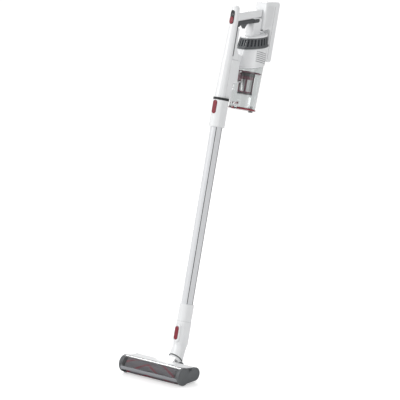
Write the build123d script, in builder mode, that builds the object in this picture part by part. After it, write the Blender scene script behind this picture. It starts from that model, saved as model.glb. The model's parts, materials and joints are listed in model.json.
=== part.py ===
from build123d import *

import os
from math import cos, radians, sin, tan

# Cordless stick vacuum, floor head to battery, in millimetres.
# +Z is up, the front of the floor head faces -Y and X is the width. The origin is on the floor, at
# the middle of the felt strip under the floor head. The wand leans back from its foot.

os.makedirs("parts", exist_ok=True)

# ---------------------------------------------------------------- driving dimensions

LEAN = 14.8                            # degrees that the wand leans back
FOOT_Y, FOOT_Z = 75.0, 48.0            # foot of the wand's axis
GAP = 0.35                             # between pieces that move apart
FIT = 0.05                             # radial clearance of a running fit
WALL = 2.4                             # moulded shells

HEAD_HALF, CAP = 125.0, 9.0            # floor head: half its width, and the end caps' thickness
BODY_HALF = HEAD_HALF - CAP
HOUSE_Y, HOUSE_Z, HOUSE_R = -42.0, 30.0, 28.0
REAR_Y, REAR_Z, REAR_R = 12.0, 27.0, 21.5
ROLL_Y, ROLL_Z, CORE_R, NAP_R = -42.0, 25.8, 15.0, 24.6
ROLL_END = 104.0
SOLE_LOW, SOLE_HIGH = 3.5, 8.0
MOUTH_REAR = -20.5
WINDOW_TOP_Y, LENS_TOP_Z, LENS_LOW_Z = -38.4, 29.0, 17.0
PITCH_Y, PITCH_Z = 58.0, 27.0          # the neck leans back on this axis, along X
RING_Y, RING_Z, RING_R, RING_LEAN = 63.0, 45.0, 24.0, 50.0
DRUM_R, DRUM_HALF = 16.5, 22.0
WHEEL_Y, WHEEL_R, WHEEL_X, WHEEL_WIDTH = 18.0, 11.0, 88.0, 13.0

TUBE_HALF, TUBE_REACH, TUBE_WALL = 15.0, 21.5, 1.6
SPIGOT_HALF, SPIGOT_REACH, SPIGOT_LOW = 12.6, 19.0, 783.0
TUBE_LOW, TUBE_HIGH = 123.0, 781.0
NECK_LOW, NECK_TOP, LOW_COLLAR_TOP = 39.0, 113.0, 168.0
HIGH_COLLAR_LOW, JOINT, BASE = 737.0, 823.0, 830.5
COLLAR_HALF, COLLAR_REACH = 20.0, 28.0
NECK_HALF, NECK_REACH = 19.0, 26.5
BUTTON_LOW, BUTTON_HIGH = 74.0, 799.0
BUTTON_WIDTH, BUTTON_LENGTH = 14.5, 43.0

SPINE = [                              # height, radius and depth of the round spine
    (BASE, 17.2, -8.3),
    (900.0, 16.4, -6.0),
    (984.0, 15.0, -2.5),
    (1060.0, 14.0, -0.5),
    (1126.0, 12.4, -3.5),
]
CAVITY_TOP = 1112.0
PANEL_HALF, PANEL_TOP, STEP = 13.0, 956.5, 885.0
HANDLE_HALF, COLUMN_HALF = 14.0, 17.0
MOTOR_Y, MOTOR_R, TILT = 112.0, 49.0, 17.4
CROWN_R, FLANGE_R = 43.6, 51.5           # the crown's top, and the flange under it
BARREL_LOW, BARREL_HIGH, CROWN_HIGH, PLATE_HIGH, PAD_HIGH = 950.0, 1012.0, 1046.0, 1051.0, 1053.0
BIN_Y, BIN_LOW, BIN_LOW_R, BIN_TAPER, BIN_WALL = 112.0, 812.0, 42.3, 1.66, 2.2
DOOR_THICK = 5.0
BATTERY_HALF, BATTERY_LOW, BATTERY_HIGH, BATTERY_CREST = 23.0, 973.0, 1160.0, 1171.0
BATTERY_FRONT, BATTERY_STEP, BATTERY_BACK = 122.3, 164.2, 194.0

# ---------------------------------------------------------------- planes along the wand

UP = (0, sin(radians(LEAN)), cos(radians(LEAN)))
FOOT = (0, FOOT_Y, FOOT_Z)
ACROSS = Plane(origin=FOOT, x_dir=(1, 0, 0), z_dir=UP)                    # X and depth
SIDE = Plane(origin=FOOT, x_dir=(0, UP[2], -UP[1]), z_dir=(1, 0, 0))      # depth and height
FRONT = Plane(origin=FOOT, x_dir=(1, 0, 0), z_dir=(0, -UP[2], UP[1]))     # X and height
SWIVEL = Plane(
    origin=(0, RING_Y, RING_Z),
    x_dir=(1, 0, 0),
    z_dir=(0, sin(radians(RING_LEAN)), cos(radians(RING_LEAN))),
)


def at(x, depth, height):
    """A place given by width, depth and height along the wand."""
    return ACROSS.from_local_coords((x, depth, height))


def tilted(height):
    """The slanted plane that cuts the motor barrel at a height on its axis."""
    lean = radians(LEAN - TILT)
    return Plane(origin=at(0, MOTOR_Y, height), x_dir=(1, 0, 0), z_dir=(0, sin(lean), cos(lean)))


def write(name, part):
    part.label = name
    export_step(part, f"parts/{name}.step")


# ---------------------------------------------------------------- repeated forms


def slot_tube(low, high, half, reach, bore_half=0.0, bore_reach=0.0, edge=0.0):
    """A rounded slot tube along the wand."""
    with BuildPart() as tube:
        with BuildSketch(ACROSS.offset(low)):
            SlotOverall(2 * reach, 2 * half, rotation=90)
            if bore_half:
                SlotOverall(2 * bore_reach, 2 * bore_half, rotation=90, mode=Mode.SUBTRACT)
        extrude(amount=high - low)
        if edge:
            top = tube.faces().sort_by(Axis(FOOT, UP))[-1]
            fillet(top.outer_wire().edges(), edge)
    return tube.part


def side_block(outline, half, edge=0.0, corner=0.0, centre=0.0):
    """A side outline, depth and height, made 2 x half wide about a centre."""
    with BuildPart() as block:
        with BuildSketch(SIDE.offset(centre)) as sketch:
            with BuildLine():
                Polyline(*outline, close=True)
            make_face()
            if corner:
                fillet(sketch.vertices(), corner)
        extrude(amount=half, both=True)
        if edge:
            fillet(block.faces().filter_by(Axis.X).edges(), edge)
    return block.part


def round_body(inset=0.0, low=BASE, high=1126.0):
    """The round spine, or its inside at a wall's thickness."""
    with BuildPart() as spine:
        for height, radius, depth in SPINE:
            with BuildSketch(ACROSS.offset(height)):
                with Locations((0, depth)):
                    Circle(radius - inset)
        loft()
        if not inset:
            dome = spine.faces().sort_by(Axis(FOOT, UP))[-1]
            fillet(dome.edges(), 10.5)
        split(bisect_by=ACROSS.offset(low), keep=Keep.TOP)
        split(bisect_by=ACROSS.offset(high), keep=Keep.BOTTOM)
    return spine.part


def cylinder(low, high, radius, depth, x=0.0, bore=0.0):
    """A cylinder or ring along the wand."""
    with BuildPart() as body:
        with BuildSketch(ACROSS.offset(low)):
            with Locations((x, depth)):
                Circle(radius)
                if bore:
                    Circle(bore, mode=Mode.SUBTRACT)
        extrude(amount=high - low)
    return body.part


def slab(low, high, radius, bore=0.0):
    """A disc of the motor barrel between two of its slanted planes."""
    with BuildPart() as body:
        with BuildSketch(ACROSS.offset(BARREL_LOW - 60)):
            with Locations((0, MOTOR_Y)):
                Circle(radius)
                if bore:
                    Circle(bore, mode=Mode.SUBTRACT)
        extrude(amount=220)
        split(bisect_by=tilted(low), keep=Keep.TOP)
        split(bisect_by=tilted(high), keep=Keep.BOTTOM)
    return body.part


def crown_solid(low, high, inset):
    """The crown's tapering body between two slanted planes, inset from its outside."""
    with BuildPart() as body:
        for height in (low, high):
            rise = (height - BARREL_HIGH) / (CROWN_HIGH - BARREL_HIGH)
            radius = MOTOR_R + (CROWN_R - MOTOR_R) * rise - inset
            with BuildSketch(tilted(height)):
                Ellipse(radius, radius / cos(radians(TILT)))
        loft()
    return body.part


def pill(width, length, depth_out, depth_in, height, edge=0.0):
    """A pill standing on the front of the wand, from one depth to another."""
    with BuildPart() as body:
        with BuildSketch(FRONT.offset(-depth_in)):
            with Locations((0, height)):
                SlotOverall(length, width, rotation=90)
        extrude(amount=depth_in - depth_out)
        if edge:
            front = body.faces().sort_by(Axis(FOOT, FRONT.z_dir))[-1]
            fillet(front.edges(), edge)
    return body.part


def spring(plane, radius, length, turns):
    """A compression spring: its turns as rings, joined by the wire that climbs between them."""
    wire = 0.8
    pitch = (length - wire) / (turns - 1)
    with BuildPart() as body:
        for turn in range(turns):
            with BuildSketch(plane.offset(turn * pitch)):
                Circle(radius)
                Circle(radius - wire, mode=Mode.SUBTRACT)
            extrude(amount=wire)
        with BuildSketch(plane):
            with Locations((radius - wire / 2, 0)):
                Circle(wire / 2.2)
        extrude(amount=length)
    return body.part


def axle(x_low, x_high, radius, y, z, bore=0.0, edge=0.0):
    """A cylinder or ring along X, in the floor head."""
    with BuildPart() as body:
        with BuildSketch(Plane.YZ.offset(x_low)):
            with Locations((y, z)):
                Circle(radius)
                if bore:
                    Circle(bore, mode=Mode.SUBTRACT)
        extrude(amount=x_high - x_low)
        if edge:
            fillet(body.edges().filter_by(GeomType.CIRCLE).group_by(SortBy.RADIUS)[-1], edge)
    return body.part


def box(x_low, x_high, y_low, y_high, z_low, z_high):
    """A box in the floor head, by its corners."""
    with BuildPart() as body:
        with BuildSketch(Plane.XY.offset(z_low)):
            with Locations(((x_low + x_high) / 2, (y_low + y_high) / 2)):
                Rectangle(x_high - x_low, y_high - y_low)
        extrude(amount=z_high - z_low)
    return body.part


def wand_box(half, depth_low, depth_high, low, high, x=0.0):
    """A box in the wand's frame."""
    outline = [(depth_low, low), (depth_high, low), (depth_high, high), (depth_low, high)]
    return side_block(outline, half, centre=x)


def cross_pin(place, radius, half):
    """A cylinder across the wand's frame, at a depth and height."""
    with BuildPart() as pin:
        with BuildSketch(SIDE.offset(-half)):
            with Locations(place):
                Circle(radius)
        extrude(amount=2 * half)
    return pin.part


def screw_head(place, x):
    """A round screw head with a cross slot, flush in a flank."""
    outward = 1 if x > 0 else -1
    with BuildPart() as screw:
        with BuildSketch(SIDE.offset(x - 1.0)):
            with Locations(place):
                Circle(2.6)
        extrude(amount=2.0)
        with BuildSketch(SIDE.offset(x + outward * 0.7)):
            with Locations(place):
                Rectangle(3.4, 0.9)
                Rectangle(0.9, 3.4)
        extrude(amount=outward * 0.6, mode=Mode.SUBTRACT)
    return screw.part


# ================================================================ handheld: spine and handle

spine_solid = round_body()

with BuildPart() as spine_tube:
    add(spine_solid)
    add(round_body(inset=WALL, low=BASE, high=941.0), mode=Mode.SUBTRACT)
    add(round_body(inset=WALL, low=947.0, high=CAVITY_TOP), mode=Mode.SUBTRACT)
    # throat into the duct behind
    add(wand_box(8.0, -2.0, 20.0, 888.0, 925.0), mode=Mode.SUBTRACT)
    # seat of the power slider
    add(pill(15.0, 45.0, -30.0, -11.0, 1087.5), mode=Mode.SUBTRACT)
write("spine_tube", spine_tube.part)

with BuildPart() as power_slider:
    add(pill(13.4, 23.0, -17.2, -12.9, 1077.6, edge=1.4))
    # finger ridges
    for ridge in range(3):
        add(wand_box(4.0, -17.9, -17.0, 1072.0 + 5 * ridge, 1073.6 + 5 * ridge))
write("power_slider", power_slider.part)

with BuildPart() as control_board:
    add(wand_box(8.6, -4.6, -3.0, 962.0, 1052.0))
    for rise in range(4):
        add(wand_box(4.0, -3.0, 0.5, 970.0 + 20 * rise, 980.0 + 20 * rise))
    # the trigger's switch, wired up inside the handle
    add(wand_box(4.5, 33.0, 50.0, 1097.0, 1107.0))
write("control_board", control_board.part)

with BuildPart() as inlet_spigot:
    add(slot_tube(SPIGOT_LOW, BASE, SPIGOT_HALF, SPIGOT_REACH, SPIGOT_HALF - 2, SPIGOT_REACH - 2))
write("inlet_spigot", inlet_spigot.part)

with BuildPart() as joint_gasket:
    add(slot_tube(JOINT + GAP, BASE, COLLAR_HALF + 0.6, COLLAR_REACH + 0.4, SPIGOT_HALF, SPIGOT_REACH))
write("joint_gasket", joint_gasket.part)

panel_outline = [(2, BASE), (33, BASE), (30.5, STEP - 3), (51, STEP), (48.5, PANEL_TOP), (2, PANEL_TOP)]
panel_inside = [(2, BASE), (30, BASE), (28, STEP), (48.5, STEP + 3), (46, PANEL_TOP - 3), (2, PANEL_TOP - 3)]
with BuildPart() as duct_panel:
    add(side_block(panel_outline, PANEL_HALF, edge=2.6))
    add(spine_solid, mode=Mode.SUBTRACT)
    add(side_block(panel_inside, PANEL_HALF - WALL), mode=Mode.SUBTRACT)
    # mouth towards the bin
    add(wand_box(8.4, 40.0, 60.0, 894.0, 923.0), mode=Mode.SUBTRACT)
write("duct_panel", duct_panel.part)

bracket_outline = [
    (7.4, PANEL_TOP), (40, PANEL_TOP), (40, 974), (31, 984), (23, 998), (21.5, 1056), (7.4, 1058),
]
barrel_solid = slab(BARREL_LOW, BARREL_HIGH, MOTOR_R)
with BuildPart() as upper_bracket:
    add(side_block(bracket_outline, PANEL_HALF - 1.5, edge=3.0))
    # web that reaches the motor barrel
    add(wand_box(4.0, 30.0, 75.0, PANEL_TOP, 976.0))
    add(spine_solid, mode=Mode.SUBTRACT)
    add(slab(BARREL_LOW - 30, BARREL_HIGH, MOTOR_R), mode=Mode.SUBTRACT)
    add(slab(BARREL_HIGH - GAP, BARREL_HIGH + 40, FLANGE_R + GAP), mode=Mode.SUBTRACT)
write("upper_bracket", upper_bracket.part)

grip_outline = [(9, 1077.6), (9, 1060), (14, 1060), (24, 1069.4), (112, 1091.6), (116.5, 1098), (114.5, 1106.7)]
bar_outline = [(2, 1075.7), (121, 1108.5), (121, 1135.8), (2, 1104.1)]
TRIGGER_PIVOT = (64.5, 1084.0)
trigger_slot = wand_box(5.4, 33.0, 72.0, 1050.0, 1096.0)
with BuildPart() as handle_bar:
    add(side_block(bar_outline, HANDLE_HALF, edge=8.0))
    add(spine_solid, mode=Mode.SUBTRACT)
    add(side_block([(24, 1085), (116, 1110.4), (116, 1130.5), (24, 1106)], HANDLE_HALF - 3), mode=Mode.SUBTRACT)
    add(trigger_slot, mode=Mode.SUBTRACT)
write("handle_bar", handle_bar.part)

with BuildPart() as grip_insert:
    add(side_block(grip_outline, HANDLE_HALF - 0.6, edge=3.0))
    # its thin tail runs down between the spine and the bracket
    add(side_block([(4.2, 966), (7.2, 966), (7.2, 1059), (10, 1062), (10, 1072), (4.2, 1066)], 14.2))
    add(spine_solid, mode=Mode.SUBTRACT)
    add(side_block(bar_outline, HANDLE_HALF + 1), mode=Mode.SUBTRACT)
    add(trigger_slot, mode=Mode.SUBTRACT)
    add(cross_pin(TRIGGER_PIVOT, 1.5 + FIT, 8.0), mode=Mode.SUBTRACT)
write("grip_insert", grip_insert.part)

with BuildPart() as housing_screws:
    for flank in (-1, 1):
        add(screw_head((114.0, 1087.0), flank * (COLUMN_HALF - 1.4)))
write("housing_screws", housing_screws.part)

column_outline = [(83, 1030), (121.5, 1046), (121.5, 1109), (83, 1100)]
with BuildPart() as rear_column:
    add(side_block(column_outline, COLUMN_HALF, edge=5.0))
    split(bisect_by=tilted(PAD_HIGH), keep=Keep.TOP)
    add(side_block([(87, 1020), (118, 1035), (118, 1078), (87, 1078)], COLUMN_HALF - 4), mode=Mode.SUBTRACT)
    add(side_block(bar_outline, HANDLE_HALF, edge=8.0), mode=Mode.SUBTRACT)
    add(side_block(grip_outline, HANDLE_HALF - 0.6, edge=3.0), mode=Mode.SUBTRACT)
    add(wand_box(COLUMN_HALF + 1, 70.0, 125.0, 1105.0, 1140.0), mode=Mode.SUBTRACT)
    add(housing_screws.part, mode=Mode.SUBTRACT)
write("rear_column", rear_column.part)

trigger_outline = [
    (37, 1080), (39, 1072.5), (50, 1061), (53, 1061), (60, 1074), (69, 1081), (69, 1088.5), (37, 1085),
]
with BuildPart() as trigger:
    add(side_block(trigger_outline, 5.0, corner=1.2, edge=1.0))
    # trunnions it turns on
    add(cross_pin(TRIGGER_PIVOT, 1.5, 7.5))
write("trigger", trigger.part)

# ================================================================ handheld: motor unit

with BuildPart() as motor_housing:
    add(barrel_solid)
    add(slab(BARREL_LOW - 1, BARREL_HIGH - 3, MOTOR_R - WALL), mode=Mode.SUBTRACT)
    add(slab(BARREL_HIGH - 8, BARREL_HIGH + 1, 34.0), mode=Mode.SUBTRACT)
    # slanted exhaust louvres on both flanks
    for flank in (-1, 1):
        for louvre in range(6):
            low = 963.5 + 6.2 * louvre
            slot = [(87, low + 1.5), (137, low - 1.5), (137, low + 0.5), (87, low + 3.5)]
            add(side_block(slot, 9.0, centre=flank * 44.0), mode=Mode.SUBTRACT)
    # rail of the battery
    add(wand_box(9.0, 157.0, BATTERY_STEP - GAP, 980.0, 1005.0))
write("motor_housing", motor_housing.part)

with BuildPart() as crown_spokes:
    with BuildSketch(ACROSS.offset(BARREL_LOW)):
        with Locations((0, MOTOR_Y)):
            with PolarLocations(48.0, 26):
                Rectangle(30.0, 5.6)
    extrude(amount=150)

with BuildPart() as crown_slots:
    add(slab(BARREL_HIGH + 8, CROWN_HIGH - 5, 60.0))
    add(crown_spokes.part, mode=Mode.INTERSECT)

with BuildPart() as vent_crown:
    add(crown_solid(BARREL_HIGH, CROWN_HIGH, 0.0))
    add(slab(BARREL_HIGH, BARREL_HIGH + 3.6, FLANGE_R))
    add(crown_solid(BARREL_HIGH, CROWN_HIGH, 2.8), mode=Mode.SUBTRACT)
    add(crown_slots.part, mode=Mode.SUBTRACT)
write("vent_crown", vent_crown.part)

with BuildPart() as exhaust_filter:
    add(crown_solid(BARREL_HIGH + 1, CROWN_HIGH - 1, 4.2))
    add(crown_solid(BARREL_HIGH + 1, CROWN_HIGH - 1, 8.0), mode=Mode.SUBTRACT)
write("exhaust_filter", exhaust_filter.part)

with BuildPart() as motor_top:
    add(crown_solid(CROWN_HIGH, PLATE_HIGH, 0.0))
    fillet(motor_top.faces().sort_by(Axis(FOOT, tilted(CROWN_HIGH).z_dir))[-1].edges(), 2.6)
write("motor_top", motor_top.part)

with BuildPart() as loop_pad:
    add(slab(PLATE_HIGH, PAD_HIGH, 34.0))
write("loop_pad", loop_pad.part)

with BuildPart() as suction_motor:
    add(cylinder(968.0, 1012.0, 27.0, MOTOR_Y, bore=2.5 + FIT))
    add(cylinder(1012.0, 1022.0, 12.0, MOTOR_Y, bore=2.5 + FIT))
write("suction_motor", suction_motor.part)

with BuildPart() as impeller:
    add(cylinder(955.0, 1018.0, 2.5, MOTOR_Y))
    add(cylinder(957.5, 959.5, 25.0, MOTOR_Y))
    with BuildSketch(ACROSS.offset(959.5)):
        with Locations((0, MOTOR_Y)):
            with PolarLocations(14.5, 9):
                Rectangle(19.0, 1.6, rotation=28)
    extrude(amount=6.0)
write("impeller", impeller.part)

with BuildPart() as motor_seal:
    add(slab(BARREL_LOW - 2.0, BARREL_LOW, 42.6, bore=38.0))
    add(slab(BARREL_LOW, BARREL_LOW + 4, MOTOR_R - WALL, bore=38.0))
write("motor_seal", motor_seal.part)

# ================================================================ dust bin


def cup_radius(height):
    """The bin's outer radius at a height."""
    return BIN_LOW_R + tan(radians(BIN_TAPER)) * (height - BIN_LOW)


with BuildPart() as cup_solid:
    with BuildSketch(ACROSS.offset(BIN_LOW)):
        with Locations((0, BIN_Y)):
            Circle(BIN_LOW_R)
    extrude(amount=190, taper=-BIN_TAPER)
    split(bisect_by=tilted(BARREL_LOW - GAP), keep=Keep.BOTTOM)

with BuildPart() as cup_inside:
    with BuildSketch(ACROSS.offset(BIN_LOW)):
        with Locations((0, BIN_Y)):
            Circle(BIN_LOW_R - BIN_WALL)
    extrude(amount=190, taper=-BIN_TAPER)

LATCH_PIVOT = (160.2, 821.0)
with BuildPart() as bin_cup:
    add(cup_solid.part)
    # inlet collar against the duct panel
    add(wand_box(11.0, 51.4, 76.0, 890.0, 927.0))
    # lugs of the door latch
    for flank in (-1, 1):
        add(wand_box(1.0, 150.0, 162.6, 818.0, 824.0, x=flank * 7.6))
    add(cup_inside.part, mode=Mode.SUBTRACT)
    add(wand_box(8.6, 40.0, 76.0, 893.5, 923.5), mode=Mode.SUBTRACT)
    add(cross_pin(LATCH_PIVOT, 1.2 + FIT, 12.0), mode=Mode.SUBTRACT)
write("bin_cup", bin_cup.part)

with BuildPart() as cyclone_plate:
    add(cylinder(925.0, 930.0, cup_radius(925.0) - BIN_WALL - FIT, BIN_Y, bore=19.2))
write("cyclone_plate", cyclone_plate.part)

CAGE_R, CAGE_LOW, CAGE_HIGH = 24.0, 858.0, 925.0
with BuildPart() as cyclone_cage:
    add(cylinder(CAGE_LOW, CAGE_HIGH, CAGE_R, BIN_Y, bore=CAGE_R - 2.4))
    with BuildSketch(ACROSS.offset(CAGE_LOW + 8)):
        with Locations((0, BIN_Y)):
            with PolarLocations(CAGE_R, 5, start_angle=54):
                Rectangle(12.0, 23.0)
    extrude(amount=38, mode=Mode.SUBTRACT)
    add(cylinder(CAGE_LOW, CAGE_LOW + 2.0, CAGE_R - 2.4, BIN_Y))
write("cyclone_cage", cyclone_cage.part)

with BuildPart() as cyclone_mesh:
    add(cylinder(CAGE_LOW + 2.0, CAGE_HIGH, CAGE_R - 2.4, BIN_Y, bore=CAGE_R - 3.4))
write("cyclone_mesh", cyclone_mesh.part)

with BuildPart() as cartridge_filter:
    add(cylinder(CAGE_LOW + 6, 931.0, 16.0, BIN_Y))
    add(cylinder(930.0, 931.0, 19.0, BIN_Y))
write("cartridge_filter", cartridge_filter.part)

FLAP_HINGE = (73.6, 921.0)
with BuildPart() as inlet_flap:
    add(cross_pin(FLAP_HINGE, 1.5, 8.2))
    add(wand_box(8.0, 73.0, 74.2, 894.5, 921.0))
write("inlet_flap", inlet_flap.part)

HINGE = (65.5, 809.2)
with BuildPart() as hinge_bracket:
    add(side_block([(62.5, 811), (62.5, 821), (72, 830), (78, 830), (78, 813), (69, 813)], 14.0))
    add(cross_pin(HINGE, 3.3, 14.0))
    add(side_block([(60, 800), (72, 800), (72, 813.2), (60, 813.2)], 5.0), mode=Mode.SUBTRACT)
    add(cup_solid.part, mode=Mode.SUBTRACT)
    add(cross_pin(HINGE, 1.5, 16.0), mode=Mode.SUBTRACT)
write("hinge_bracket", hinge_bracket.part)

with BuildPart() as door_pin:
    add(cross_pin(HINGE, 1.5, 14.0))
write("door_pin", door_pin.part)

with BuildPart() as bin_door:
    add(cylinder(BIN_LOW - GAP - DOOR_THICK, BIN_LOW - GAP, 44.0, BIN_Y))
    fillet(bin_door.faces().sort_by(Axis(FOOT, UP))[0].edges(), 1.6)
    add(wand_box(40.0, 60.0, 70.2, 800.0, 820.0), mode=Mode.SUBTRACT)
    add(wand_box(10.0, 156.2, 160.0, 800.0, 820.0), mode=Mode.SUBTRACT)
    add(wand_box(4.7, 65.5, 72.0, 807.0, 811.4))
    add(cylinder(BIN_LOW - GAP, BIN_LOW + 2.0, BIN_LOW_R - BIN_WALL - 0.5, BIN_Y, bore=36.0))
    add(cross_pin(HINGE, 3.1, 4.7))
    add(cross_pin(HINGE, 1.5 + FIT, 6.0), mode=Mode.SUBTRACT)
write("bin_door", bin_door.part)

latch_outline = [
    (158.4, 823), (161.6, 823), (162.4, 806), (160.5, 803.2),
    (153.4, 803.2), (153.4, 806.2), (157.2, 806.2), (158.2, 810),
]
with BuildPart() as door_latch:
    add(side_block(latch_outline, 6.0))
    add(cross_pin(LATCH_PIVOT, 1.2, 8.4))
write("door_latch", door_latch.part)

with BuildPart() as bin_release:
    add(side_block([(35, 862), (47, 862), (49, 880), (49, 884.2), (35, 881.6)], 7.5, edge=1.4))
write("bin_release", bin_release.part)

# ================================================================ battery pack

battery_outline = [
    (BATTERY_STEP, BATTERY_LOW), (BATTERY_BACK, BATTERY_LOW), (BATTERY_BACK, BATTERY_CREST),
    (BATTERY_FRONT, BATTERY_HIGH), (BATTERY_FRONT, 1062.5), (BATTERY_STEP, 1079.5),
]
battery_inside = [
    (BATTERY_STEP + WALL, BATTERY_LOW + 3), (BATTERY_BACK - 3, BATTERY_LOW + 3),
    (BATTERY_BACK - 3, BATTERY_CREST - 3), (BATTERY_FRONT + WALL, BATTERY_HIGH - 3),
    (BATTERY_FRONT + WALL, 1067), (BATTERY_STEP + WALL, 1084),
]
SOCKET_DEPTH = 179.0
with BuildPart() as battery_case:
    add(side_block(battery_outline, BATTERY_HALF, edge=6.5, corner=9.0))
    add(side_block(battery_inside, BATTERY_HALF - 2.6), mode=Mode.SUBTRACT)
    add(wand_box(8.4, 185.0, 200.0, 989.6, 1012.4), mode=Mode.SUBTRACT)
    add(cylinder(970.0, 979.0, 4.6, SOCKET_DEPTH), mode=Mode.SUBTRACT)
write("battery_case", battery_case.part)

with BuildPart() as battery_cells:
    for flank in (-1, 1):
        for depth, low in ((178.6, 979.5), (178.6, 1046.0), (149.0, 1087.0)):
            add(cylinder(low, low + 65, 9.2, depth, x=flank * 9.9))
write("battery_cells", battery_cells.part)

with BuildPart() as battery_button:
    add(wand_box(8.0, 190.6, 195.0, 990.0, 1012.0))
    fillet(battery_button.edges().filter_by(Axis((0, 0, 0), SIDE.x_dir)), 6.0)
write("battery_button", battery_button.part)

with BuildPart() as charge_socket:
    add(cylinder(BATTERY_LOW, 978.5, 4.6, SOCKET_DEPTH, bore=2.8))
    add(cylinder(977.3, 978.5, 4.6, SOCKET_DEPTH))
    add(cylinder(BATTERY_LOW + 1, 978.5, 0.9, SOCKET_DEPTH))
write("charge_socket", charge_socket.part)

# ================================================================ wand

BORE_HALF, BORE_REACH = SPIGOT_HALF + GAP, SPIGOT_REACH + GAP
tube_section = (TUBE_HALF, TUBE_REACH)

with BuildPart() as wand_tube:
    add(slot_tube(TUBE_LOW, TUBE_HIGH, *tube_section, TUBE_HALF - TUBE_WALL, TUBE_REACH - TUBE_WALL))
    # two grooves down each flank
    for flank in (-1, 1):
        for depth, reach in ((-15.2, 12.8), (8.5, TUBE_HALF)):
            groove = wand_box(0.7, depth - 1.2, depth + 1.2, TUBE_LOW, TUBE_HIGH, x=flank * reach)
            add(groove, mode=Mode.SUBTRACT)
write("wand_tube", wand_tube.part)

with BuildPart() as wand_high_collar:
    add(slot_tube(HIGH_COLLAR_LOW, JOINT, COLLAR_HALF, COLLAR_REACH, BORE_HALF, BORE_REACH, edge=1.0))
    add(slot_tube(HIGH_COLLAR_LOW, TUBE_HIGH, *tube_section), mode=Mode.SUBTRACT)
    add(pill(BUTTON_WIDTH + 1, BUTTON_LENGTH + 1, -40.0, -21.6, BUTTON_HIGH), mode=Mode.SUBTRACT)
write("wand_high_collar", wand_high_collar.part)

with BuildPart() as wand_low_collar:
    add(slot_tube(NECK_TOP + GAP, LOW_COLLAR_TOP, 18.6, 25.5, SPIGOT_HALF - 2, SPIGOT_REACH - 2, edge=1.0))
    add(slot_tube(66.0, NECK_TOP + GAP, SPIGOT_HALF, SPIGOT_REACH, SPIGOT_HALF - 2, SPIGOT_REACH - 2))
    add(slot_tube(TUBE_LOW, LOW_COLLAR_TOP, *tube_section), mode=Mode.SUBTRACT)
write("wand_low_collar", wand_low_collar.part)

SPRING_SEAT = Plane(origin=at(0, -21.6, BUTTON_HIGH), x_dir=(1, 0, 0), z_dir=FRONT.z_dir)
with BuildPart() as wand_button:
    add(pill(BUTTON_WIDTH, BUTTON_LENGTH, -30.2, -25.4, BUTTON_HIGH, edge=2.0))
    with BuildSketch(SPRING_SEAT):
        Circle(3.2)
    extrude(amount=6.4, mode=Mode.SUBTRACT)
write("wand_button", wand_button.part)

with BuildPart() as wand_spring:
    add(spring(SPRING_SEAT, 2.7, 4.0, 4))
write("wand_spring", wand_spring.part)

# ================================================================ neck and swivel

with BuildPart() as neck_channel:
    with BuildSketch(SWIVEL):
        Circle(16.0)
    with BuildSketch(ACROSS.offset(NECK_LOW)):
        SlotOverall(2 * BORE_REACH, 2 * BORE_HALF, rotation=90)
    loft()

with BuildPart() as neck_shell:
    with BuildSketch(SWIVEL):
        Circle(RING_R)
    with BuildSketch(ACROSS.offset(NECK_LOW)):
        SlotOverall(49.0, 35.4, rotation=90)
    loft()
    add(slot_tube(NECK_LOW, NECK_TOP, NECK_HALF, NECK_REACH, edge=1.0))
    add(pill(23.0, 60.0, -29.4, 0.0, BUTTON_LOW, edge=3.0))
    add(slot_tube(NECK_LOW, NECK_TOP, BORE_HALF, BORE_REACH), mode=Mode.SUBTRACT)
    add(neck_channel.part, mode=Mode.SUBTRACT)
    add(pill(BUTTON_WIDTH + 1, BUTTON_LENGTH + 1, -40.0, -21.6, BUTTON_LOW), mode=Mode.SUBTRACT)
write("neck_shell", neck_shell.part)

with BuildPart() as neck_button:
    add(pill(BUTTON_WIDTH, BUTTON_LENGTH, -31.4, -25.0, BUTTON_LOW, edge=2.0))
write("neck_button", neck_button.part)

RING_THICK = 3.0
with BuildPart() as swivel_ring:
    with BuildSketch(SWIVEL.offset(-GAP - RING_THICK)):
        Circle(RING_R + 0.3)
        Circle(15.0, mode=Mode.SUBTRACT)
    extrude(amount=RING_THICK)
write("swivel_ring", swivel_ring.part)

PIN_R, PIN_LOW, CHEEK_LOW, CHEEK_HIGH = 4.0, 16.0, DRUM_HALF + GAP, 28.5
with BuildPart() as swivel_yoke:
    with BuildSketch(SWIVEL.offset(-14.0)):
        Circle(DRUM_HALF)
    extrude(amount=14.0 - GAP - RING_THICK)
    add(axle(-DRUM_HALF, DRUM_HALF, DRUM_R, PITCH_Y, PITCH_Z))
    split(bisect_by=SWIVEL.offset(-GAP - RING_THICK), keep=Keep.BOTTOM)
    with BuildSketch(SWIVEL.offset(-45.0)):
        Circle(15.0)
    extrude(amount=60.0, mode=Mode.SUBTRACT)
    for flank in (-1, 1):
        start = min(flank * PIN_LOW, flank * 30)
        add(axle(start, start + 30 - PIN_LOW, PIN_R + FIT, PITCH_Y, PITCH_Z), mode=Mode.SUBTRACT)
write("swivel_yoke", swivel_yoke.part)

with BuildPart() as flex_hose:
    with BuildSketch(SWIVEL.offset(-13.0)):
        Circle(14.0)
        Circle(12.6, mode=Mode.SUBTRACT)
    extrude(amount=9.0)
    for ridge in range(3):
        with BuildSketch(SWIVEL.offset(-13.0 + 3.6 * ridge)):
            Circle(15.0)
            Circle(13.0, mode=Mode.SUBTRACT)
        extrude(amount=1.6)
write("flex_hose", flex_hose.part)

with BuildPart() as pitch_pins:
    for flank in (-1, 1):
        start = min(flank * (PIN_LOW + 0.5), flank * CHEEK_HIGH)
        add(axle(start, start + CHEEK_HIGH - PIN_LOW - 0.5, PIN_R, PITCH_Y, PITCH_Z))
write("pitch_pins", pitch_pins.part)

# ================================================================ floor head


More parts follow.
